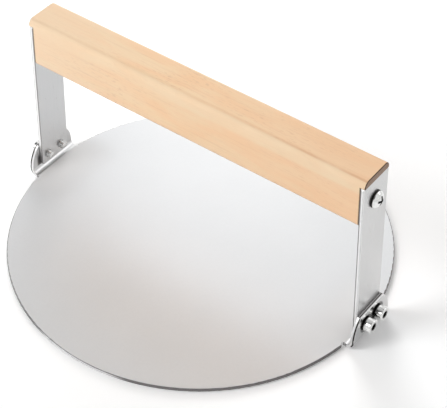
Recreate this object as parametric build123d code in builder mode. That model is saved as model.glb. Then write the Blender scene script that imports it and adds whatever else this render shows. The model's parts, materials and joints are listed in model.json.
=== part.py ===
from build123d import *
from math import asin, cos, degrees, radians, sin, sqrt, tan
import os

# Burger press: a round steel plate with an upturned ear at each side, two upright
# straps screwed to the ears, and a wooden bar across the top.
# Millimetres. The origin is the centre of the plate's underside, +X runs along the
# handle and +Z points up. The right end is modelled and mirrored to the left.

# Plate and ears, cut from one sheet
plate_diameter = 180.0
sheet = 2.0
rim_round = 0.5
ear_root_width = 28.0
ear_height = 11.8
ear_lean = 1.86
ear_edge_round = 0.3
bend_offset = 0.3
bend_radius = 2.5
relief_radius = 1.0

# Straps
strap_width = 18.0
strap_thickness = 2.0
strap_top_height = 89.3
strap_foot_gap = 0.4
strap_corner = 1.2
strap_edge_round = 0.25

# Wooden bar
handle_height = 25.4
handle_thickness = 18.0
handle_cover = 3.6
handle_overhang = 0.2
handle_edge_round = 3.0
handle_end_round = 0.5
rebate_clearance = 0.2

# Socket cap screws that hold the straps to the ears
cap_head_diameter = 7.0
cap_head_height = 4.0
cap_head_round = 0.4
cap_shank_diameter = 4.0
cap_shank_length = 6.0
cap_tip_chamfer = 0.5
cap_socket_width = 3.0
cap_socket_depth = 2.0
cap_screw_height = 5.0
cap_screw_spacing = 9.0
ear_hole_clearance = 0.25
thread_clearance = 0.05

# Cross-recessed screws that hold the bar to the straps
pan_head_diameter = 8.0
pan_head_height = 3.1
pan_side_height = 1.0
pan_shank_diameter = 4.2
pan_shank_length = 20.0
pan_point_length = 5.0
pan_point_diameter = 1.0
pan_recess_width = 4.4
pan_recess_slot = 1.1
pan_recess_depth = 1.6
pan_recess_taper = 8.0
handle_hole_spare = 1.0

# Worked out from the sizes above
lean = radians(ear_lean)
plate_radius = plate_diameter / 2
ear_half_root = ear_root_width / 2
ear_lead_in = ear_half_root
rim_corner_x = sqrt(plate_radius**2 - ear_half_root**2)
bend_start = rim_corner_x + bend_offset
relief_y = ear_half_root + relief_radius / 2
ear_foot_x = bend_start + bend_radius * cos(lean)
ear_foot_z = sheet + bend_radius * (1 + sin(lean))
strap_length = (strap_top_height - ear_foot_z) / cos(lean) - strap_foot_gap
strap_end = strap_foot_gap + strap_length
handle_bottom = strap_top_height + handle_cover - handle_height
handle_seat = (handle_bottom - ear_foot_z) / cos(lean)
pan_screw_height = (handle_seat + strap_end) / 2
handle_half_length = ear_foot_x - (strap_top_height - ear_foot_z) * tan(lean) + handle_overhang

# The right ear's inner face: X across the ear, Y up the ear and Z straight out of it
ear_inner = Plane(
    origin=(ear_foot_x, 0, ear_foot_z), x_dir=(0, 1, 0), z_dir=(cos(lean), 0, sin(lean))
)
ear_outer = ear_inner.offset(sheet)
strap_inner = ear_inner.offset(-strap_thickness)
cap_screw_places = [(-cap_screw_spacing / 2, cap_screw_height), (cap_screw_spacing / 2, cap_screw_height)]

os.makedirs("parts", exist_ok=True)


def at(plane, across, up):
    """The plane with its origin moved within itself."""
    return plane.shift_origin(plane.from_local_coords(Vector(across, up, 0)))


def write(piece, name):
    """Labels a finished piece and writes it under its own name."""
    piece.label = name
    export_step(piece, f"parts/{name}.step")


def write_mirrored(piece, name):
    """Writes the same piece at the other end of the handle."""
    with BuildPart() as other_end:
        mirror(piece, about=Plane.YZ)
    write(other_end.part, name)


# Right ear: a strip of the sheet, bent up and cut to its outline
side_step = ear_half_root - strap_width / 2
side_radius = (side_step**2 + ear_height**2) / (2 * side_step)
side_sweep = degrees(asin(ear_height / side_radius))

with BuildPart() as right_ear:
    with BuildSketch(Plane.XZ.offset(-ear_half_root)):
        with BuildLine():
            bend_centre = (bend_start, sheet + bend_radius)
            inner_bend = CenterArc(bend_centre, bend_radius, -90, 90 + ear_lean)
            outer_bend = CenterArc(bend_centre, bend_radius + sheet, -90, 90 + ear_lean)
            inner_flat = Line(inner_bend @ 0, (bend_start - ear_lead_in, sheet))
            outer_flat = Line(outer_bend @ 0, (bend_start - ear_lead_in, 0))
            Line(inner_flat @ 1, outer_flat @ 1)
            rise = 2 * ear_height * (inner_bend % 1)
            inner_side = Line(inner_bend @ 1, inner_bend @ 1 + rise)
            outer_side = Line(outer_bend @ 1, outer_bend @ 1 + rise)
            Line(inner_side @ 1, outer_side @ 1)
        make_face()
    extrude(amount=ear_root_width)
    with BuildSketch(ear_inner):
        with BuildLine():
            right_side = CenterArc((ear_half_root - side_radius, 0), side_radius, 0, side_sweep)
            left_side = CenterArc((side_radius - ear_half_root, 0), side_radius, 180, -side_sweep)
            Line(right_side @ 1, left_side @ 1)
            right_root = Line(right_side @ 0, (ear_half_root, -2 * ear_foot_z))
            left_root = Line(left_side @ 0, (-ear_half_root, -2 * ear_foot_z))
            Line(right_root @ 1, left_root @ 1)
        make_face()
    extrude(amount=2 * ear_lead_in, both=True, mode=Mode.INTERSECT)
    ear_top = faces().sort_by(Axis.Z)[-1]
    ear_sides = faces().filter_by(GeomType.CYLINDER).filter_by(lambda face: face.radius > side_radius - sheet)
    fillet(ear_top.edges().filter_by(Axis.Y) + ear_sides.edges(), ear_edge_round)
    with Locations((rim_corner_x, -relief_y), (rim_corner_x, relief_y)):
        Cylinder(relief_radius, 4 * sheet, mode=Mode.SUBTRACT)
    for place in cap_screw_places:
        with Locations(at(ear_outer, *place)):
            Hole(cap_shank_diameter / 2 + ear_hole_clearance, depth=2 * sheet)

# Plate with both ears. A small relief notch is cut beside each bend, in the ear and in the rim.
with BuildPart() as press_plate:
    with BuildSketch(Plane.XZ):
        with Locations((plate_radius / 2, sheet / 2)):
            Rectangle(plate_radius, sheet)
        fillet(vertices().group_by(Axis.X)[-1], rim_round)
    revolve(axis=Axis.Z)
    with Locations((bend_start + ear_lead_in, 0), (-bend_start - ear_lead_in, 0)):
        Box(2 * ear_lead_in, ear_root_width, 4 * sheet, mode=Mode.SUBTRACT)
    with GridLocations(2 * rim_corner_x, 2 * relief_y, 2, 2):
        Cylinder(relief_radius, 4 * sheet, mode=Mode.SUBTRACT)
    add(right_ear.part)
    mirror(right_ear.part, about=Plane.YZ)
write(press_plate.part, "press_plate")

# Strap: a flat bar that stands on the inner side of its ear
with BuildPart() as right_strap:
    with BuildSketch(strap_inner):
        with Locations((0, strap_foot_gap + strap_length / 2)):
            RectangleRounded(strap_width, strap_length, strap_corner)
    extrude(amount=strap_thickness)
    flat_faces = faces().filter_by(GeomType.PLANE).sort_by(SortBy.AREA)[-2:]
    fillet(flat_faces.edges(), strap_edge_round)
    for place in cap_screw_places:
        with Locations(at(ear_inner, *place)):
            Hole(cap_shank_diameter / 2 + thread_clearance, depth=2 * strap_thickness)
    with Locations(at(ear_inner, 0, pan_screw_height)):
        Hole(pan_shank_diameter / 2 + thread_clearance, depth=2 * strap_thickness)
write(right_strap.part, "right_strap")
write_mirrored(right_strap.part, "left_strap")

# Wooden bar: half of it, with the rebate for the strap and the screw's hole, then mirrored
with BuildPart() as handle_bar:
    with BuildSketch(Plane.YZ):
        with Locations((0, handle_bottom + handle_height / 2)):
            RectangleRounded(handle_thickness, handle_height, handle_edge_round)
    extrude(amount=handle_half_length)
    fillet(faces().sort_by(Axis.X)[-1].edges(), handle_end_round)
    with BuildSketch(strap_inner):
        with Locations((0, strap_end + rebate_clearance)):
            Rectangle(2 * handle_thickness, handle_height, align=(Align.CENTER, Align.MAX))
    extrude(amount=3 * strap_thickness, mode=Mode.SUBTRACT)
    with Locations(at(strap_inner, 0, pan_screw_height)):
        Hole(
            pan_shank_diameter / 2 + thread_clearance,
            depth=pan_shank_length - strap_thickness + handle_hole_spare,
        )
    mirror(about=Plane.YZ)
write(handle_bar.part, "handle_bar")


def cap_screw(seat):
    """Socket cap screw whose head stands on the seat plane and whose shank goes through it."""
    with BuildPart() as screw:
        with BuildSketch(seat):
            Circle(cap_head_diameter / 2)
        extrude(amount=cap_head_height)
        head_top = seat.offset(cap_head_height)
        fillet(edges().filter_by(GeomType.CIRCLE).sort_by_distance(head_top.origin)[0], cap_head_round)
        with BuildSketch(head_top):
            RegularPolygon(cap_socket_width / 2, 6, major_radius=False)
        extrude(amount=-cap_socket_depth, mode=Mode.SUBTRACT)
        with BuildSketch(seat):
            Circle(cap_shank_diameter / 2)
        extrude(amount=-cap_shank_length)
        tip = seat.offset(-cap_shank_length)
        chamfer(edges().filter_by(GeomType.CIRCLE).sort_by_distance(tip.origin)[0], cap_tip_chamfer)
    return screw.part


def pan_screw(seat):
    """Pan-head screw with a cross recess, pointed for wood."""
    half_plane = Plane(seat.origin, x_dir=seat.x_dir, z_dir=-seat.y_dir)
    crown_edge = (pan_head_diameter / 2, pan_side_height)
    with BuildPart() as screw:
        with BuildSketch(half_plane):
            with BuildLine():
                crown = TangentArc((0, pan_head_height), crown_edge, tangent=(1, 0))
                shank = Polyline(
                    crown @ 1,
                    (pan_head_diameter / 2, 0),
                    (pan_shank_diameter / 2, 0),
                    (pan_shank_diameter / 2, pan_point_length - pan_shank_length),
                    (pan_point_diameter / 2, -pan_shank_length),
                    (0, -pan_shank_length),
                )
                Line(shank @ 1, crown @ 0)
            make_face()
        revolve(axis=Axis(seat.origin, seat.z_dir))
        with BuildSketch(seat.offset(pan_head_height)):
            Rectangle(pan_recess_width, pan_recess_slot)
            Rectangle(pan_recess_slot, pan_recess_width)
        extrude(amount=-pan_recess_depth, taper=pan_recess_taper, mode=Mode.SUBTRACT)
    return screw.part


for depth_place, place in zip(("front", "rear"), cap_screw_places):
    fixing = cap_screw(at(ear_outer, *place))
    write(fixing, f"right_{depth_place}_cap_screw")
    write_mirrored(fixing, f"left_{depth_place}_cap_screw")

handle_fixing = pan_screw(at(ear_inner, 0, pan_screw_height))
write(handle_fixing, "right_handle_screw")
write_mirrored(handle_fixing, "left_handle_screw")
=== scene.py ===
"""Looks of the burger press: finishes, detailed screws, studio light and camera.

Metres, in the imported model's own frame: +X along the handle to the right strap, +Z up,
and the origin in the centre of the plate's underside.
"""

import json
import math

import bmesh
import bpy
from mathutils import Matrix, Vector

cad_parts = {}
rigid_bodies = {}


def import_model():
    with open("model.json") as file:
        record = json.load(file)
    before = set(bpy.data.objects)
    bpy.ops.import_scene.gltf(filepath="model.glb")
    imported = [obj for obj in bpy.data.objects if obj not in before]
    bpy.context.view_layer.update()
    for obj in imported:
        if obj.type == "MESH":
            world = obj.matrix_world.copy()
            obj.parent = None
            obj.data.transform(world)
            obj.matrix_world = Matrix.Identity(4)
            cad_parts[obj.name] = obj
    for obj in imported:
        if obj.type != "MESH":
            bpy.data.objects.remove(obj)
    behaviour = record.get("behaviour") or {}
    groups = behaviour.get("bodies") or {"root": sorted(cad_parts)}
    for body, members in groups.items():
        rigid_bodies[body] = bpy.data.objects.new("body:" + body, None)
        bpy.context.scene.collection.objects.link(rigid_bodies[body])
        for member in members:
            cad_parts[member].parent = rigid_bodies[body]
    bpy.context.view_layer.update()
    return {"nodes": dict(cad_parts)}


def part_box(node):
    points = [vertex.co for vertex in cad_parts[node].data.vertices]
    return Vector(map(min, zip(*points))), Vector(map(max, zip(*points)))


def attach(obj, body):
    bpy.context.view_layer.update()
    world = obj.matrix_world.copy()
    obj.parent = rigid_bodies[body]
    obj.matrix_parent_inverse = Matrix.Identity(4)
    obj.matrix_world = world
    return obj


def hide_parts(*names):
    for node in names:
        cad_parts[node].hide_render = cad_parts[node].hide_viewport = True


for stray in list(bpy.data.objects):
    bpy.data.objects.remove(stray)

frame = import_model()
nodes = frame["nodes"]

MM = 0.001

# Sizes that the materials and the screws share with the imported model
plate_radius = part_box("press_plate")[1].y
sheet = 2.0 * MM
bend_x = 89.2 * MM
bend_z = 4.5 * MM
bend_radius = 2.5 * MM
strap_low, strap_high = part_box("right_strap")
handle_low, handle_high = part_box("handle_bar")
ear_lean = math.radians(1.86)
lean_cos = math.cos(ear_lean)
lean_sin = math.sin(ear_lean)

# Socket cap screws
cap_screw_low, cap_screw_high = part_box("right_rear_cap_screw")
cap_screw_y = (cap_screw_low.y + cap_screw_high.y) / 2
cap_screw_z = (cap_screw_low.z + cap_screw_high.z) / 2
cap_head_radius = 3.5 * MM
cap_head_height = 4.0 * MM
cap_head_round = 0.4 * MM
cap_round_steps = 4
cap_knurl_ridges = 36
cap_knurl_depth = 0.02 * MM
cap_knurl_profile = (0.0, 0.35, 1.0, 0.35)
cap_socket_width = 3.0 * MM
cap_socket_depth = 2.0 * MM
cap_socket_chamfer = 0.18 * MM
cap_socket_drill = 0.45 * MM
cap_shank_radius = 2.0 * MM
cap_shank_length = 6.0 * MM
cap_tip_chamfer = 0.5 * MM
cap_thread_pitch = 0.7 * MM
cap_thread_depth = 0.35 * MM
cap_thread_gap = 0.3 * MM

# Pan-head screws
pan_head_radius = 4.0 * MM
pan_head_height = 3.1 * MM
pan_side_height = 1.0 * MM
pan_under_chamfer = 0.12 * MM
pan_shank_radius = 2.1 * MM
pan_shank_length = 20.0 * MM
pan_point_length = 5.0 * MM
pan_point_radius = 0.5 * MM
pan_thread_pitch = 1.8 * MM
pan_thread_depth = 0.6 * MM
pan_thread_gap = 2.0 * MM
pan_recess_width = 4.4 * MM
pan_recess_slot = 1.1 * MM
pan_recess_depth = 1.6 * MM
pan_recess_round = 0.10 * MM

# Steel
PLATE_GRAIN = (900, 900, 900)
PLATE_TONE = (0.880, 0.889, 0.899)
PLATE_ROUGHNESS = 0.52
STRAP_GRAIN = (1500, 1500, 40)
STRAP_TONE = (0.69, 0.69, 0.69)
STRAP_ROUGHNESS = 0.30
STEEL_CLOUD = 28.0
STEEL_LINES_SHARE, STEEL_CLOUD_SHARE = 0.6, 0.4
STEEL_DARKEST = 0.965
STEEL_GRAIN_DEPTH = 0.002 * MM
NOISE_SPAN = (0.3, 0.7)
ROUGHNESS_SPREAD = 0.03

# Rougher steel beside the ears; its lighter tone is painted light
SCUFF_AND_PAINTED_LIGHT_TONE = (0.97, 0.97, 0.97)
EAR_TONE = (0.68, 0.68, 0.68)
# Lighter in the ear's inner bend than the ear: painted light
COVE_PAINTED_LIGHT_TONE = (0.78, 0.78, 0.78)
OUTER_FACE_TONE = (0.66, 0.66, 0.66)
EAR_SIDE_TONE = (0.80, 0.80, 0.80)
STRAP_SIDE_TONE = (0.92, 0.92, 0.92)
STRAP_DULL_TONE = (0.72, 0.72, 0.72)
FRACTURE_TONE = (0.33, 0.32, 0.32)
# Near black, for painted shade in gaps, corners and round the screws
PAINTED_SHADE_TONE = (0.04, 0.036, 0.034)
# A painted highlight on the front stretch of the rim
PAINTED_HIGHLIGHT_TONE = (0.82, 0.82, 0.82)
RIM_TONE = (0.20, 0.19, 0.19)

# Spans in which a part of the surface's normal fades a zone in or out
FACING_UP = (0.75, 0.95)
SLIGHTLY_UP = (0.10, 0.30)
FACING_SIDEWAYS = (0.55, 0.80)
FACING_FRONT = (-0.985, -0.955)

# Spans of place on the plate. Those named DEPTH run outwards from the ear's inner face.
RIM_RADIUS = (plate_radius - 0.7 * MM, plate_radius - 0.4 * MM)
RIM_FRACTURE_X = (-70 * MM, -10 * MM)
SCUFF_AND_PAINTED_LIGHT_X = (62 * MM, 84 * MM)
SCUFF_AND_PAINTED_LIGHT_Y = (12 * MM, 30 * MM)
PLATE_TOP = (sheet + 0.05 * MM, sheet + 0.15 * MM)
EAR_START = (bend_x, bend_x + 1.5 * MM)
EAR_TOP = (15.0 * MM, 15.5 * MM)
INNER_FACE_DEPTH = (0.3 * MM, 0.5 * MM)
INNER_LINE_DEPTH = (0.30 * MM, 0.42 * MM)
MIDDLE_LINE_DEPTH = (0.88 * MM, 1.35 * MM)
MIDDLE_LINE_SOFT = 0.1 * MM
OUTER_FACE_DEPTH = (1.0 * MM, 1.2 * MM)
FRACTURE_DEPTH = (1.10 * MM, 1.25 * MM)
DULL_DEPTH = (1.45 * MM, 1.60 * MM)
COVE_START = (bend_x - 0.6 * MM, bend_x + 0.2 * MM)
COVE_TOP = (4.0 * MM, 4.8 * MM)
# Painted shade in the ear's corners beside the strap, and in rings round the cap screws
CORNER_Y = (strap_high.y + 1.0 * MM, strap_high.y + 2.4 * MM)
CORNER_FOOT = (4.2 * MM, 5.0 * MM)
CORNER_TOP, CORNER_SHADE_SHARE = (8.0 * MM, 14.5 * MM), 0.9
ROUND_SCREW, SCREW_RING_SHADE_SHARE = (cap_head_radius + 0.6 * MM, cap_head_radius + 1.5 * MM), 0.8

# Spans of place on the strap. Its depths are below zero.
STRAP_SIDE = (strap_high.y - 0.14 * MM, strap_high.y - 0.06 * MM)
STRAP_OUTER_DEPTH = (-0.85 * MM, -0.65 * MM)
STRAP_INNER_DEPTH = (-1.50 * MM, -1.35 * MM)

# Plating, and the painted shade that the screws' meshes carry as an attribute
PLATING_TONE = (0.88, 0.88, 0.87)
PLATING_ROUGHNESS = 0.09
PLATING_CLOUD = 900.0
PLATING_DARKEST = 0.93
SHADE_ATTRIBUTE = "painted_shade"
SCREW_SHADE_TONE = (0.030, 0.028, 0.027)
SCREW_SHADE_ROUGHNESS = 0.3
THREAD_SHADE = 0.30
SOCKET_EDGE_SHADE = 0.5
FULL_SHADE = 1.0

# Beech: its tones, and the scales and offsets of its noises
PALE_WOOD = (0.915, 0.672, 0.435)
WARM_WOOD = (0.920, 0.612, 0.372)
STREAK_WOOD = (0.74, 0.47, 0.29)
LEFT_WOOD = (0.860, 0.665, 0.470)
TOASTED_WOOD = (0.915, 0.590, 0.365)
# A painted highlight under the bar's long upper edge
HIGHLIGHT_WOOD = (0.915, 0.705, 0.480)
EDGE_WOOD = (0.80, 0.49, 0.29)
# Painted shade along the bar's underside
UNDERSIDE_SHADE_WOOD = (0.42, 0.22, 0.12)
END_GRAIN = (0.37, 0.23, 0.15)
DARKEST_WOOD = (0.075, 0.036, 0.019)
BAND_SCALE = (26, 110, 90)
GRAIN_SCALE = (28, 900, 800)
FLECK_SCALE, FLECK_OFFSET = (260, 1900, 1700), (5, 2, 7)
PATCH_SCALE, PATCH_OFFSET = (22, 60, 60), (1, 4, 2)
PORE_SCALE = 2600.0
WOOD_ROUGHNESS = (0.44, 0.52)
WOOD_SPECULAR = 0.4
WOOD_GRAIN_DEPTH = 0.04 * MM
FLECK_DEPTH_SHARE = 0.5

# Spans of the wood's noises, and how much of a tone they bring
BAND_SPAN = (0.35, 0.65)
WIDE_BAND_SPAN = (0.3, 0.6)
STREAK_SPAN, STREAK_SHARE = (0.50, 0.72), 0.35
FLECK_SPAN, FLECK_SHARE = (0.58, 0.68), 0.60
PATCH_SPAN, PATCH_LEAST = (0.45, 0.60), 0.25
PORE_SPAN, PORE_SHARE = (0.40, 0.65), 0.4

# Spans of place on the bar. Those named BELOW run down from its top.
LEFT_X, LEFT_SHARE = (handle_low.x, -10 * MM), 0.6
TOASTED_Z, TOASTED_LOW_SHARE = (handle_low.z + 1.0 * MM, handle_low.z + 3.2 * MM), 0.8
TOASTED_X, TOASTED_RIGHT_SHARE = (-20 * MM, handle_high.x), 0.55
# Span of the painted highlight under the long upper edge
HIGHLIGHT_BELOW = (0.10 * MM, 0.60 * MM)
HIGHLIGHT_END_BELOW = (5.5 * MM, 8.0 * MM)
HIGHLIGHT_X = (handle_low.x, 30 * MM)
EDGE_BELOW, EDGE_SOFT = (0.02 * MM, 0.6 * MM), 0.2 * MM
EDGE_X = (30 * MM, 60 * MM)
# Span of the painted shade along the bar's underside
UNDERSIDE_SHADE_Z, UNDERSIDE_SHADE_SHARE = (handle_low.z + 1.15 * MM, handle_low.z + 1.5 * MM), 0.6
END_EDGE = (0.25, 0.50)
END_FACE = (0.86, 0.98)
REBATE_BAND_PAST_SEAT = (-0.7 * MM, -0.1 * MM)
REBATE_BAND_Z, REBATE_BAND_SHARE = (strap_high.z + 0.1 * MM, strap_high.z + 0.5 * MM), 0.92


# Node trees


class Graph:
    """The node tree of a material or world, with short names for the nodes used here."""

    def __init__(self, owner):
        owner.use_nodes = True
        self.tree = owner.node_tree
        self.tree.nodes.clear()

    def plug(self, socket, value):
        """Links the socket to another one, or sets it to a plain value."""
        if isinstance(value, bpy.types.NodeSocket):
            self.tree.links.new(value, socket)
        else:
            socket.default_value = value

    def add(self, kind, inputs=None, **settings):
        """A new node. Each input is a plain value or the socket to link from."""
        node = self.tree.nodes.new(kind)
        for key, value in settings.items():
            setattr(node, key, value)
        for key, value in (inputs or {}).items():
            self.plug(node.inputs[key], value)
        return node

    def math(self, operation, first, second=0.0):
        return self.add("ShaderNodeMath", {0: first, 1: second}, operation=operation).outputs[0]

    def total(self, first, second):
        return self.math("ADD", first, second)

    def minus(self, first, second):
        return self.math("SUBTRACT", first, second)

    def absolute(self, value):
        return self.math("ABSOLUTE", value)

    def larger(self, first, second):
        return self.math("MAXIMUM", first, second)

    def product(self, first, *others):
        for other in others:
            first = self.math("MULTIPLY", first, other)
        return first

    def length(self, first, second):
        """Length of the vector with these two parts."""
        squares = self.total(self.product(first, first), self.product(second, second))
        return self.math("SQRT", squares)

    def ramp(self, value, span, before, after):
        """before under the span and after over it, with a smooth step between."""
        node = self.add(
            "ShaderNodeMapRange",
            {
                "Value": value,
                "From Min": span[0],
                "From Max": span[1],
                "To Min": before,
                "To Max": after,
            },
            interpolation_type="SMOOTHSTEP",
        )
        return node.outputs["Result"]

    def fade_in(self, value, span, amount=1.0):
        return self.ramp(value, span, 0.0, amount)

    def fade_out(self, value, span, amount=1.0):
        return self.ramp(value, span, amount, 0.0)

    def window(self, value, span, soft):
        """1 within the span, with soft edges inside it."""
        low, high = span
        rise = self.fade_in(value, (low, low + soft))
        fall = self.fade_out(value, (high - soft, high))
        return self.product(rise, fall)

    def blend(self, factor, first, second):
        """Two colours mixed by factor."""
        node = self.add("ShaderNodeMix", data_type="RGBA")
        for socket, value in zip((0, 6, 7), (factor, first, second)):
            is_tone = isinstance(value, (tuple, list))
            self.plug(node.inputs[socket], (*value, 1.0) if is_tone else value)
        return node.outputs[2]

    def float_blend(self, factor, first, second):
        """Two plain values mixed by factor."""
        inputs = {0: factor, 2: first, 3: second}
        return self.add("ShaderNodeMix", inputs, data_type="FLOAT").outputs[0]

    def place(self, scale=(1, 1, 1), offset=(0, 0, 0)):
        """Coordinates fixed to the object, stretched by scale."""
        where = self.add("ShaderNodeTexCoord").outputs["Object"]
        inputs = {"Vector": where, "Scale": scale, "Location": offset}
        return self.add("ShaderNodeMapping", inputs).outputs["Vector"]

    def noise(self, scale, vector, detail, roughness=0.55, distortion=0.0):
        node = self.add(
            "ShaderNodeTexNoise",
            {
                "Vector": vector,
                "Scale": scale,
                "Detail": detail,
                "Roughness": roughness,
                "Distortion": distortion,
            },
        )
        return node.outputs["Fac"]

    def axes(self, kind, output):
        """The x, y and z of a coordinate node's output."""
        vector = self.add(kind).outputs[output]
        split = self.add("ShaderNodeSeparateXYZ", {"Vector": vector})
        return [split.outputs[axis] for axis in "XYZ"]

    def position(self):
        return self.axes("ShaderNodeTexCoord", "Object")

    def normal(self):
        return self.axes("ShaderNodeNewGeometry", "Normal")

    def bump(self, shader, height, distance):
        inputs = {"Height": height, "Distance": distance, "Strength": 1.0}
        self.plug(shader.inputs["Normal"], self.add("ShaderNodeBump", inputs).outputs["Normal"])


def new_material(name):
    """A material with its shader wired to the output."""
    made = bpy.data.materials.new(name)
    graph = Graph(made)
    shader = graph.add("ShaderNodeBsdfPrincipled")
    graph.add("ShaderNodeOutputMaterial", {"Surface": shader.outputs["BSDF"]})
    return made, graph, shader


def darker(tone, share):
    return [part * share for part in tone]


def around(roughness):
    """The least and the most of a roughness that varies a little."""
    return roughness - ROUGHNESS_SPREAD, roughness + ROUGHNESS_SPREAD


# Steel


def steel(name, grain_scale, tone, roughness, layers):
    """Stainless steel. Its brush lines run along the axis with the smallest grain scale.

    layers is a function that returns (mask, tone, roughness) for each zone that looks different.
    """
    made, graph, shader = new_material(name)
    lines = graph.noise(1.0, graph.place(grain_scale), detail=5.0, roughness=0.65)
    cloud = graph.noise(STEEL_CLOUD, graph.place(), detail=3.0)
    shade = graph.total(
        graph.product(lines, STEEL_LINES_SHARE),
        graph.product(cloud, STEEL_CLOUD_SHARE),
    )
    colour = graph.blend(graph.fade_in(shade, NOISE_SPAN), darker(tone, STEEL_DARKEST), tone)
    rough = graph.ramp(lines, NOISE_SPAN, *around(roughness))
    for mask, zone_tone, zone_roughness in layers(graph):
        colour = graph.blend(mask, colour, zone_tone)
        rough = graph.float_blend(mask, rough, zone_roughness)
    graph.plug(shader.inputs["Base Color"], colour)
    graph.plug(shader.inputs["Roughness"], rough)
    shader.inputs["Metallic"].default_value = 1.0
    graph.bump(shader, lines, STEEL_GRAIN_DEPTH)
    return made


def sheet_depth(graph):
    """Distance out from the ear's inner face, round the bend too. It is negative in the strap."""
    x, _, z = graph.position()
    above_bend = graph.minus(z, bend_z)
    past_bend = graph.minus(graph.absolute(x), bend_x)
    out = graph.total(graph.product(past_bend, lean_cos), graph.product(above_bend, lean_sin))
    down = graph.math("MINIMUM", above_bend, 0.0)
    return graph.minus(graph.length(out, down), bend_radius)


def plate_layers(graph):
    """Zones of the plate: rougher steel beside the ears, lightened as painted light, the ears,
    and the cut rim.

    The ears have polished bends, lightened as painted light, and polished outer faces, cut
    edges with dark lines, the blackest of them painted shade, and painted shade beside the strap
    and round the screws. The rim is dark, with a painted highlight on a stretch in front.
    """
    signed_x, signed_y, z = graph.position()
    x, y = graph.absolute(signed_x), graph.absolute(signed_y)
    _, signed_normal_y, signed_normal_z = graph.normal()
    normal_y, normal_z = graph.absolute(signed_normal_y), graph.absolute(signed_normal_z)
    depth = sheet_depth(graph)

    flat = graph.fade_out(z, PLATE_TOP)
    # Beside the ears the steel is rougher, and lighter as painted light
    scuff_and_painted_light = graph.product(graph.fade_in(x, SCUFF_AND_PAINTED_LIGHT_X), graph.fade_out(y, SCUFF_AND_PAINTED_LIGHT_Y), flat)
    rim = graph.product(
        graph.fade_in(graph.length(x, y), RIM_RADIUS),
        graph.fade_out(normal_z, FACING_UP),
        flat,
    )
    rim_fracture = graph.product(rim, graph.fade_out(signed_x, RIM_FRACTURE_X))
    # Painted highlight on the stretch of the rim that faces the front
    rim_painted_highlight = graph.product(
        rim,
        graph.fade_out(signed_normal_y, FACING_FRONT),
        graph.fade_out(normal_z, SLIGHTLY_UP),
    )

    ear = graph.product(graph.fade_in(x, EAR_START), graph.minus(1.0, flat))
    inner_face = graph.fade_out(depth, INNER_FACE_DEPTH)
    # The inner bend is smoother, and lighter as painted light
    cove_painted_light = graph.product(graph.fade_in(x, COVE_START), inner_face, graph.fade_out(z, COVE_TOP))
    # Painted shade in the ear's inner corner beside the strap
    corner = graph.product(
        ear,
        inner_face,
        graph.fade_out(y, CORNER_Y),
        graph.fade_out(z, CORNER_TOP, CORNER_SHADE_SHARE),
        graph.fade_in(z, CORNER_FOOT),
    )
    outer_face = graph.product(ear, graph.fade_in(depth, OUTER_FACE_DEPTH))
    from_screw = graph.length(graph.minus(y, cap_screw_y), graph.minus(z, cap_screw_z))
    # Painted shade in a ring round each cap screw on the ear's outer face
    screw_ring_shade = graph.product(
        outer_face,
        graph.fade_out(from_screw, ROUND_SCREW, SCREW_RING_SHADE_SHARE),
    )

    side = graph.product(ear, graph.fade_in(normal_y, FACING_SIDEWAYS))
    # The outer part of the ear's cut sides, with its near-black tone painted shade
    side_fracture_shade = graph.product(side, graph.fade_in(depth, FRACTURE_DEPTH))
    top = graph.product(ear, graph.fade_in(z, EAR_TOP), graph.fade_in(normal_z, FACING_UP))
    top_dull = graph.product(top, graph.fade_out(depth, DULL_DEPTH))
    # Black lines on the ear's top, painted near black: the shade of the gap against the strap, and
    # a line in the middle
    top_lines = graph.larger(
        graph.fade_out(depth, INNER_LINE_DEPTH),
        graph.window(depth, MIDDLE_LINE_DEPTH, MIDDLE_LINE_SOFT),
    )
    return (
        (scuff_and_painted_light, SCUFF_AND_PAINTED_LIGHT_TONE, 0.85),
        (ear, EAR_TONE, 0.42),
        (cove_painted_light, COVE_PAINTED_LIGHT_TONE, 0.32),
        (corner, PAINTED_SHADE_TONE, 0.45),
        (outer_face, OUTER_FACE_TONE, 0.12),
        (screw_ring_shade, PAINTED_SHADE_TONE, 0.30),
        (side, EAR_SIDE_TONE, 0.30),
        (side_fracture_shade, PAINTED_SHADE_TONE, 0.35),
        (top_dull, FRACTURE_TONE, 0.40),
        (graph.product(top, top_lines), PAINTED_SHADE_TONE, 0.40),
        (rim, RIM_TONE, 0.30),
        (rim_fracture, FRACTURE_TONE, 0.40),
        (rim_painted_highlight, PAINTED_HIGHLIGHT_TONE, 0.50),
    )


def strap_layers(graph):
    """Cut edges that are bright in the middle, dull outside and dark along the inner side."""
    _, y, _ = graph.position()
    depth = sheet_depth(graph)
    side = graph.fade_in(graph.absolute(y), STRAP_SIDE)
    outer_part = graph.product(side, graph.fade_in(depth, STRAP_OUTER_DEPTH))
    inner_line = graph.product(side, graph.fade_out(depth, STRAP_INNER_DEPTH))
    return (
        (side, STRAP_SIDE_TONE, 0.30),
        (outer_part, STRAP_DULL_TONE, 0.30),
        (inner_line, FRACTURE_TONE, 0.40),
    )


def plated_steel(name, tone, roughness):
    """Bright plating with a faint cloudiness, dark where the meshes carry painted shade."""
    made, graph, shader = new_material(name)
    cloud = graph.noise(PLATING_CLOUD, graph.place(), detail=3.0)
    plating = graph.blend(graph.fade_in(cloud, NOISE_SPAN), darker(tone, PLATING_DARKEST), tone)
    # Painted shade, carried by the meshes, darkens the plating and roughens it
    painted_shade = graph.add("ShaderNodeAttribute", attribute_name=SHADE_ATTRIBUTE).outputs["Fac"]
    rough = graph.total(
        graph.ramp(cloud, NOISE_SPAN, *around(roughness)),
        graph.product(painted_shade, SCREW_SHADE_ROUGHNESS),
    )
    graph.plug(shader.inputs["Base Color"], graph.blend(painted_shade, plating, SCREW_SHADE_TONE))
    graph.plug(shader.inputs["Roughness"], rough)
    shader.inputs["Metallic"].default_value = 1.0
    return made


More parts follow.
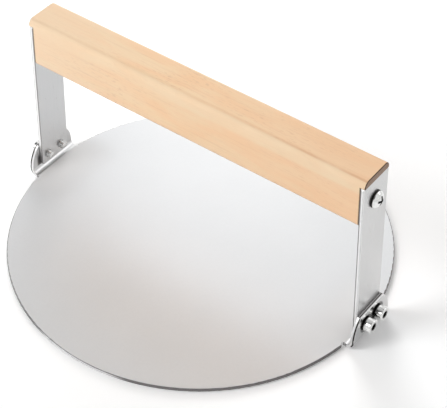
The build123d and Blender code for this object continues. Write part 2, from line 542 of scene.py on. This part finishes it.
# Wood


def seat_x(graph, z):
    """Distance from the middle to the strap's inner face, where the rebate is cut, at height z."""
    drop = graph.minus(strap_high.z, z)
    return graph.total(strap_low.x, graph.product(drop, math.tan(ear_lean)))


def beech_layers(graph, bands, grain, flecks):
    """(mask, tone) for each zone that lies over the wood's pale and warm bands.

    Fine streaks and flecks come first, then warmer wood along the lower edge and to the right,
    a painted highlight and a thin line just under the long upper edge, painted shade along the
    underside, and last the two ends.
    """
    x, _, z = graph.position()
    patches = graph.noise(1.0, graph.place(PATCH_SCALE, PATCH_OFFSET), detail=2.0)
    fleck_amount = graph.product(
        graph.fade_in(flecks, FLECK_SPAN, FLECK_SHARE),
        graph.ramp(patches, PATCH_SPAN, PATCH_LEAST, 1.0),
    )
    toasted = graph.larger(
        graph.fade_out(z, TOASTED_Z, TOASTED_LOW_SHARE),
        graph.fade_in(x, TOASTED_X, TOASTED_RIGHT_SHARE),
    )
    below_top = graph.minus(handle_high.z, z)
    # Painted highlight: paler wood under the long upper edge
    painted_highlight_band = graph.product(
        graph.fade_in(below_top, HIGHLIGHT_BELOW),
        graph.fade_out(below_top, HIGHLIGHT_END_BELOW),
        graph.ramp(bands, WIDE_BAND_SPAN, 1.0, 0.7),
        graph.ramp(x, HIGHLIGHT_X, 0.3, 0.9),
    )
    edge_line = graph.product(
        graph.window(below_top, EDGE_BELOW, EDGE_SOFT),
        graph.ramp(bands, WIDE_BAND_SPAN, 0.1, 0.8),
        graph.fade_in(x, EDGE_X),
    )

    # The ends: burnt edges, end grain, and a dark band where the rebate meets the strap
    normal_x = graph.absolute(graph.normal()[0])
    pores = graph.noise(PORE_SCALE, graph.place(), detail=3.0)
    end_colour = graph.blend(graph.fade_in(pores, PORE_SPAN, PORE_SHARE), END_GRAIN, DARKEST_WOOD)
    past_seat = graph.minus(graph.absolute(x), seat_x(graph, z))
    rebate_band = graph.product(
        graph.fade_in(past_seat, REBATE_BAND_PAST_SEAT),
        graph.fade_out(z, REBATE_BAND_Z),
        REBATE_BAND_SHARE,
    )
    return (
        (graph.fade_in(grain, STREAK_SPAN, STREAK_SHARE), STREAK_WOOD),
        (fleck_amount, STREAK_WOOD),
        (graph.fade_out(x, LEFT_X, LEFT_SHARE), LEFT_WOOD),
        (toasted, TOASTED_WOOD),
        (painted_highlight_band, HIGHLIGHT_WOOD),
        (edge_line, EDGE_WOOD),
        # Painted shade along the bar's underside
        (graph.fade_out(z, UNDERSIDE_SHADE_Z, UNDERSIDE_SHADE_SHARE), UNDERSIDE_SHADE_WOOD),
        (graph.fade_in(normal_x, END_EDGE), DARKEST_WOOD),
        (graph.fade_in(normal_x, END_FACE), end_colour),
        (rebate_band, DARKEST_WOOD),
    )


def beech(name):
    """Pale beech with its grain along X, darker end grain, burnt edges and a dark band at the
    rebates.
    """
    made, graph, shader = new_material(name)
    bands = graph.noise(1.0, graph.place(BAND_SCALE), detail=3.0, distortion=0.6)
    along = graph.place(GRAIN_SCALE)
    grain = graph.noise(1.0, along, detail=5.0, roughness=0.6, distortion=0.3)
    flecks = graph.noise(1.0, graph.place(FLECK_SCALE, FLECK_OFFSET), detail=1.0)
    colour = graph.blend(graph.fade_in(bands, BAND_SPAN), PALE_WOOD, WARM_WOOD)
    for mask, tone in beech_layers(graph, bands, grain, flecks):
        colour = graph.blend(mask, colour, tone)
    graph.plug(shader.inputs["Base Color"], colour)
    graph.plug(shader.inputs["Roughness"], graph.ramp(grain, NOISE_SPAN, *WOOD_ROUGHNESS))
    shader.inputs["Specular IOR Level"].default_value = WOOD_SPECULAR
    fine = graph.total(grain, graph.product(flecks, FLECK_DEPTH_SHARE))
    graph.bump(shader, fine, WOOD_GRAIN_DEPTH)
    return made


plate_steel = steel("plate_steel", PLATE_GRAIN, PLATE_TONE, PLATE_ROUGHNESS, plate_layers)
strap_steel = steel("strap_steel", STRAP_GRAIN, STRAP_TONE, STRAP_ROUGHNESS, strap_layers)
screw_steel = plated_steel("screw_steel", PLATING_TONE, PLATING_ROUGHNESS)
handle_wood = beech("handle_wood")

finishes = {
    "press_plate": plate_steel,
    "left_strap": strap_steel,
    "right_strap": strap_steel,
    "handle_bar": handle_wood,
}
for node_name, finish in finishes.items():
    for material_slot in nodes[node_name].material_slots:
        material_slot.material = finish


# Screws, built round a local Z axis: the seat is at z = 0 and the head stands up

SHARP_EDGE = math.radians(28)
THREAD_STEPS = 6
TOOTH_HALF_WIDTH = 0.42


def ring(mesh, angles, radius, z, painted_shade=0.0):
    """One closed row of vertices. radius and z are numbers or functions of the angle."""
    layer = mesh.verts.layers.float[SHADE_ATTRIBUTE]
    row = []
    for angle in angles:
        r = radius(angle) if callable(radius) else radius
        height = z(angle, r) if callable(z) else z
        vertex = mesh.verts.new((r * math.cos(angle), r * math.sin(angle), height))
        vertex[layer] = painted_shade
        row.append(vertex)
    return row


def pairs(row):
    """Each vertex of a closed row with the next one."""
    return zip(row, row[1:] + row[:1])


def join(mesh, lower, upper):
    """Quads between two rows that have the same number of vertices."""
    for (low, next_low), (high, next_high) in zip(pairs(lower), pairs(upper)):
        mesh.faces.new((low, next_low, next_high, high))


def close(mesh, row, z, facing_up):
    """A fan from the row to a point on the axis."""
    middle = mesh.verts.new((0, 0, z))
    layer = mesh.verts.layers.float[SHADE_ATTRIBUTE]
    middle[layer] = row[0][layer]
    for first, second in pairs(row):
        mesh.faces.new((first, second, middle) if facing_up else (second, first, middle))


def stack(name, rows, angles, bottom_z, top_z):
    """A closed body from rows of (radius, z) or (radius, z, painted shade) listed from the bottom
    up.
    """
    mesh = bmesh.new()
    mesh.verts.layers.float.new(SHADE_ATTRIBUTE)
    made = [ring(mesh, angles, *row) for row in rows]
    for lower, upper in zip(made, made[1:]):
        join(mesh, lower, upper)
    close(mesh, made[0], bottom_z, facing_up=False)
    close(mesh, made[-1], top_z, facing_up=True)
    for face in mesh.faces:
        face.smooth = True
    for edge in mesh.edges:
        if edge.calc_face_angle(0.0) > SHARP_EDGE:
            edge.smooth = False
    data = bpy.data.meshes.new(name)
    mesh.to_mesh(data)
    mesh.free()
    return data


def thread_rows(bottom, top, radius, depth, pitch, taper):
    """Rows of a helical thread from bottom to top. taper(z) narrows it towards the tip."""
    count = max(2, round((top - bottom) / pitch * THREAD_STEPS))
    rows = []
    for i in range(count + 1):
        z = bottom + (top - bottom) * i / count

        def at(angle, z=z):
            phase = (z / pitch - angle / math.tau) % 1.0
            tooth = max(0.0, 1.0 - abs(phase - 0.5) / TOOTH_HALF_WIDTH)
            return taper(z) * (1.0 - depth / radius * (1.0 - tooth))

        # Every row of thread but the first carries a little painted shade
        rows.append((at, z, THREAD_SHADE if i else 0.0))
    return rows


def hexagon(angle):
    """Distance from the axis to the side of the hexagon socket."""
    turn = (angle + math.pi / 6) % (math.pi / 3) - math.pi / 6
    return cap_socket_width / 2 / math.cos(turn)


def cap_screw_mesh():
    """Socket cap screw with a knurled head."""
    per_ridge = len(cap_knurl_profile)
    count = cap_knurl_ridges * per_ridge
    angles = [math.tau * i / count for i in range(count)]
    flat_radius = cap_head_radius - cap_head_round
    valley_radius = cap_head_radius - cap_knurl_depth
    socket_floor = cap_head_height - cap_socket_depth

    def knurled(angle):
        step = round(angle / math.tau * count) % per_ridge
        return cap_head_radius - cap_knurl_profile[step] * cap_knurl_depth

    def socket_edge(angle):
        return hexagon(angle) + cap_socket_chamfer

    def half_way(angle):
        return (socket_edge(angle) + flat_radius) * 0.5

    def tip_taper(z):
        above = z + cap_shank_length
        return min(cap_shank_radius, cap_shank_radius - cap_tip_chamfer + above)

    rows = thread_rows(
        -cap_shank_length,
        -cap_thread_gap,
        cap_shank_radius,
        cap_thread_depth,
        cap_thread_pitch,
        taper=tip_taper,
    )
    # Painted shade round the shank's top, under the head and round its foot
    rows += [
        (cap_shank_radius, 0.0, FULL_SHADE),
        (cap_head_radius - 0.35 * MM, 0.0, FULL_SHADE),
        (cap_head_radius - 0.08 * MM, 0.15 * MM, FULL_SHADE),
        (valley_radius, 0.35 * MM, FULL_SHADE),
        (knurled, 0.5 * MM, FULL_SHADE),
        (knurled, 0.65 * MM, FULL_SHADE),
        (knurled, 0.95 * MM),
        (knurled, cap_head_height - 0.95 * MM),
        (valley_radius, cap_head_height - 0.8 * MM),
    ]
    for step in range(cap_round_steps + 1):
        turn = math.pi / 2 * step / cap_round_steps
        inset = cap_head_round * (1 - math.cos(turn))
        drop = cap_head_round * (1 - math.sin(turn))
        rows.append((cap_head_radius - inset, cap_head_height - drop))
    # Painted shade at the socket's rim and inside it
    rows += [
        (half_way, cap_head_height),
        (socket_edge, cap_head_height, SOCKET_EDGE_SHADE),
        (hexagon, cap_head_height - cap_socket_chamfer, FULL_SHADE),
        (hexagon, cap_head_height - 2 * cap_socket_chamfer, FULL_SHADE),
        (hexagon, socket_floor, FULL_SHADE),
        (cap_socket_width * 0.40, socket_floor, FULL_SHADE),
    ]
    return stack("cap_screw", rows, angles, -cap_shank_length, socket_floor - cap_socket_drill)


def cross_outline(angle, width, slot):
    """Distance from the axis to the outline of a cross-shaped recess."""
    turn = angle % (math.pi / 2)
    turn = min(turn, math.pi / 2 - turn)
    if math.tan(turn) <= slot / width:
        return width / 2 / math.cos(turn)
    return slot / 2 / math.sin(turn)


def pan_screw_mesh():
    """Pan-head wood screw with a tapered cross recess."""
    eighth_turn, quarter_turn = math.pi / 4, math.pi / 2
    corner = math.atan(pan_recess_slot / pan_recess_width)
    between = (corner + eighth_turn) / 2
    eighth = [0, corner * 0.5, corner, between - 0.06, between + 0.08]
    quarter = eighth + [eighth_turn] + [quarter_turn - a for a in reversed(eighth[1:])]
    angles = [a + k * quarter_turn + eighth_turn for k in range(4) for a in quarter]
    dome_rise = pan_head_height - pan_side_height
    dome_radius = (dome_rise**2 + pan_head_radius**2) / (2 * dome_rise)
    flank_radius = pan_head_radius * 0.72

    def dome(r):
        return pan_head_height - dome_radius + math.sqrt(dome_radius**2 - r**2)

    def on_dome(_, r):
        return dome(r)

    def under_dome(_, r):
        return dome(r) - pan_recess_round

    def recess(width_share, slot_share, grow=0.0):
        def at(angle):
            width, slot = pan_recess_width * width_share, pan_recess_slot * slot_share
            return cross_outline(angle - eighth_turn, width, slot) + grow

        return at

    def recess_z(depth_share):
        return pan_head_height - pan_recess_depth * depth_share

    def shank_taper(z):
        above = z + pan_shank_length
        if above >= pan_point_length:
            return pan_shank_radius
        widening = (pan_shank_radius - pan_point_radius) * above / pan_point_length
        return pan_point_radius + widening

    rows = thread_rows(
        -pan_shank_length,
        -pan_thread_gap,
        pan_shank_radius,
        pan_thread_depth,
        pan_thread_pitch,
        taper=shank_taper,
    )
    # Painted shade round the shank's top, under the head and on the lower side wall
    rows += [
        (pan_shank_radius, -1.8 * MM, FULL_SHADE),
        (pan_shank_radius, 0.0, FULL_SHADE),
        (pan_head_radius - pan_under_chamfer, 0.0, FULL_SHADE),
        (pan_head_radius, pan_under_chamfer, FULL_SHADE),
        (pan_head_radius, pan_side_height * 0.75, FULL_SHADE),
    ]
    for share in (0.99, 0.96, 0.9, 0.82, 0.72):
        r = pan_head_radius * share
        rows.append((r, dome(r)))
    rim = recess(1.0, 1.0, pan_recess_round)
    for share in (0.33, 0.66):
        rows.append((lambda a, s=share: flank_radius * (1 - s) + rim(a) * s, on_dome))
    # The recess below its rim carries painted shade
    rows += [
        (rim, on_dome),
        (recess(1.0, 1.0), under_dome, FULL_SHADE),
        (recess(0.80, 0.85), recess_z(0.55), FULL_SHADE),
        (recess(0.55, 0.75), recess_z(0.95), FULL_SHADE),
        (recess(0.30, 0.50), recess_z(1.15), FULL_SHADE),
    ]
    return stack("pan_screw", rows, angles, -pan_shank_length, recess_z(1.35))


def seat_frame(node, side, head_radius, shank_length, tip_radius):
    """The matrix from a screw's local frame to its place, read from the CAD node's box."""
    low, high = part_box(node)
    tip_x = (low.x if side > 0 else high.x) + side * tip_radius * lean_sin
    seat_point = Vector(
        (
            tip_x + side * shank_length * lean_cos,
            (low.y + high.y) / 2,
            low.z + head_radius * lean_cos,
        )
    )
    axis = Vector((side * lean_cos, 0, lean_sin))
    across = Vector((0, side, 0))
    turn = Matrix((across, axis.cross(across), axis)).transposed().to_4x4()
    return Matrix.Translation(seat_point) @ turn


def add_screw(node, mesh, sizes, spin):
    """A detailed screw in the place of its plain CAD node, turned by spin degrees."""
    side = 1 if node.startswith("right") else -1
    data = mesh.copy()
    piece = bpy.data.objects.new(f"{node}_detail", data)
    bpy.context.scene.collection.objects.link(piece)
    spun = Matrix.Rotation(math.radians(spin), 4, "Z")
    data.transform(seat_frame(node, side, *sizes) @ spun)
    data.materials.append(screw_steel)
    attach(piece, "root")
    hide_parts(node)


cap_screw = cap_screw_mesh()
cap_sizes = (cap_head_radius, cap_shank_length, cap_shank_radius - cap_tip_chamfer)
cap_spins = {"left_front": 12, "left_rear": 37, "right_front": 8, "right_rear": 41}
for place_name, spin in cap_spins.items():
    add_screw(f"{place_name}_cap_screw", cap_screw, cap_sizes, spin)

pan_screw = pan_screw_mesh()
pan_sizes = (pan_head_radius, pan_shank_length, pan_point_radius)
pan_spins = {"left": 20, "right": 28}
for side_name, spin in pan_spins.items():
    add_screw(f"{side_name}_handle_screw", pan_screw, pan_sizes, spin)


# Floor and white surroundings

WHITE = (1, 1, 1, 1)
FLOOR_RADIUS = 3.0
FLOOR_SEGMENTS = 96
FLOOR_TONE = 0.97
FLOOR_GLOW = 0.13
FLOOR_GAP = 0.05 * MM

ROOM_LIGHT = 0.37
ROOM_IN_METAL = 0.81
DARK_SIDES = ((180, 68), (-53, 44))
DARK_SPAN = (0.86, 0.97)
DARK_SHARE = 0.10


def floor_material():
    """Pale floor that keeps the object's shadow.

    Its glow, seen by the camera and in metal, makes it white.
    """
    made = bpy.data.materials.new("floor")
    graph = Graph(made)
    tone = (FLOOR_TONE, FLOOR_TONE, FLOOR_TONE, 1)
    matt = graph.add("ShaderNodeBsdfDiffuse", {"Color": tone})
    path = graph.add("ShaderNodeLightPath").outputs
    seen = graph.larger(path["Is Camera Ray"], path["Is Glossy Ray"])
    strength = graph.product(seen, FLOOR_GLOW)
    glow = graph.add("ShaderNodeEmission", {"Color": WHITE, "Strength": strength})
    inputs = {0: matt.outputs["BSDF"], 1: glow.outputs["Emission"]}
    both = graph.add("ShaderNodeAddShader", inputs)
    graph.add("ShaderNodeOutputMaterial", {"Surface": both.outputs["Shader"]})
    return made


floor_mesh = bmesh.new()
bmesh.ops.create_circle(floor_mesh, cap_ends=True, radius=FLOOR_RADIUS, segments=FLOOR_SEGMENTS)
floor_data = bpy.data.meshes.new("floor")
floor_mesh.to_mesh(floor_data)
floor_mesh.free()
floor = bpy.data.objects.new("floor", floor_data)
bpy.context.scene.collection.objects.link(floor)
floor.location.z = -FLOOR_GAP
floor_data.materials.append(floor_material())


def direction(azimuth, elevation):
    """Unit vector for a compass angle from +X and a height above the floor, in degrees."""
    a, e = math.radians(azimuth), math.radians(elevation)
    return Vector((math.cos(a) * math.cos(e), math.sin(a) * math.cos(e), math.sin(e)))


def surroundings():
    """White to the camera, and a pale room to everything else.

    Metal sees the room brighter, with two dark patches: one high on the left, and one where
    the camera stands.
    """
    world = bpy.data.worlds.new("studio")
    bpy.context.scene.world = world
    graph = Graph(world)
    where = graph.add("ShaderNodeTexCoord").outputs["Generated"]
    in_metal = ROOM_IN_METAL
    for azimuth, elevation in DARK_SIDES:
        aim = {0: where, 1: direction(azimuth, elevation)}
        towards = graph.add("ShaderNodeVectorMath", aim, operation="DOT_PRODUCT").outputs["Value"]
        in_metal = graph.product(in_metal, graph.ramp(towards, DARK_SPAN, 1.0, DARK_SHARE))

    def background(strength):
        inputs = {"Color": WHITE, "Strength": strength}
        return graph.add("ShaderNodeBackground", inputs).outputs["Background"]

    path = graph.add("ShaderNodeLightPath").outputs
    shown = background(ROOM_LIGHT)
    for ray, strength in (("Is Glossy Ray", in_metal), ("Is Camera Ray", 1.0)):
        inputs = {0: path[ray], 1: shown, 2: background(strength)}
        shown = graph.add("ShaderNodeMixShader", inputs).outputs["Shader"]
    graph.add("ShaderNodeOutputWorld", {"Surface": shown})


surroundings()


# Lamps: azimuth, elevation, distance, width, height, level, and whether metal mirrors them.
# The level is what a lamp adds to a white surface that faces it.
LAMPS = {
    "key": (136, 23, 2.0, 1.00, 0.70, 0.52, False),
    "left": (-142, 20, 1.5, 0.90, 0.45, 0.15, False),
    "front": (-128, 42, 1.6, 0.60, 0.60, 0.285, False),
    "card": (-122, 36, 1.6, 0.80, 0.80, 0.17, True),
    "back": (121, 32, 0.35, 0.21, 0.21, 0.095, True),
    "side": (50, 36, 0.70, 0.36, 0.36, 0.08, True),
    "back_left": (150, 48, 0.80, 0.40, 0.40, 0.025, True),
}


def softbox(name, azimuth, elevation, distance, width, height, level, in_metal):
    """A rectangular studio lamp that faces the object."""
    lamp = bpy.data.lights.new(name, "AREA")
    lamp.shape = "RECTANGLE"
    lamp.size, lamp.size_y = width, height
    lamp.energy = level * (math.pi * distance) ** 2
    piece = bpy.data.objects.new(name, lamp)
    bpy.context.scene.collection.objects.link(piece)
    piece.location = direction(azimuth, elevation) * distance
    piece.rotation_euler = piece.location.to_track_quat("Z", "Y").to_euler()
    piece.visible_camera = False
    piece.visible_glossy = in_metal


for lamp_name, lamp_settings in LAMPS.items():
    softbox(lamp_name, *lamp_settings)


# Camera, from the fit to the photograph's disc, straps and handle

PHOTO_WIDTH = 447
SENSOR_WIDTH = 36.0
VIEW_END = 20.0
camera_focal_pixels = 1448.09
camera_azimuth = math.radians(36.52)
camera_elevation = math.radians(43.95)
camera_roll = math.radians(0.32)
camera_distance = 676.34 * MM
camera_right_shift = 10.58 * MM
camera_up_shift = 16.99 * MM

back = Vector(
    (
        math.sin(camera_azimuth) * math.cos(camera_elevation),
        -math.cos(camera_azimuth) * math.cos(camera_elevation),
        math.sin(camera_elevation),
    )
)
level_right = Vector((math.cos(camera_azimuth), math.sin(camera_azimuth), 0))
level_up = back.cross(level_right)
right = level_right * math.cos(camera_roll) + level_up * math.sin(camera_roll)
up = level_up * math.cos(camera_roll) - level_right * math.sin(camera_roll)
eye = back * camera_distance + right * camera_right_shift + up * camera_up_shift

lens = bpy.data.cameras.new("camera")
lens.sensor_fit = "HORIZONTAL"
lens.sensor_width = SENSOR_WIDTH
lens.lens = camera_focal_pixels / PHOTO_WIDTH * SENSOR_WIDTH
lens.clip_end = VIEW_END
camera = bpy.data.objects.new("camera", lens)
bpy.context.scene.collection.objects.link(camera)
facing = Matrix((right, up, back)).transposed().to_4x4()
camera.matrix_world = Matrix.Translation(eye) @ facing
bpy.context.scene.camera = camera
bpy.context.scene.view_settings.view_transform = "Standard"
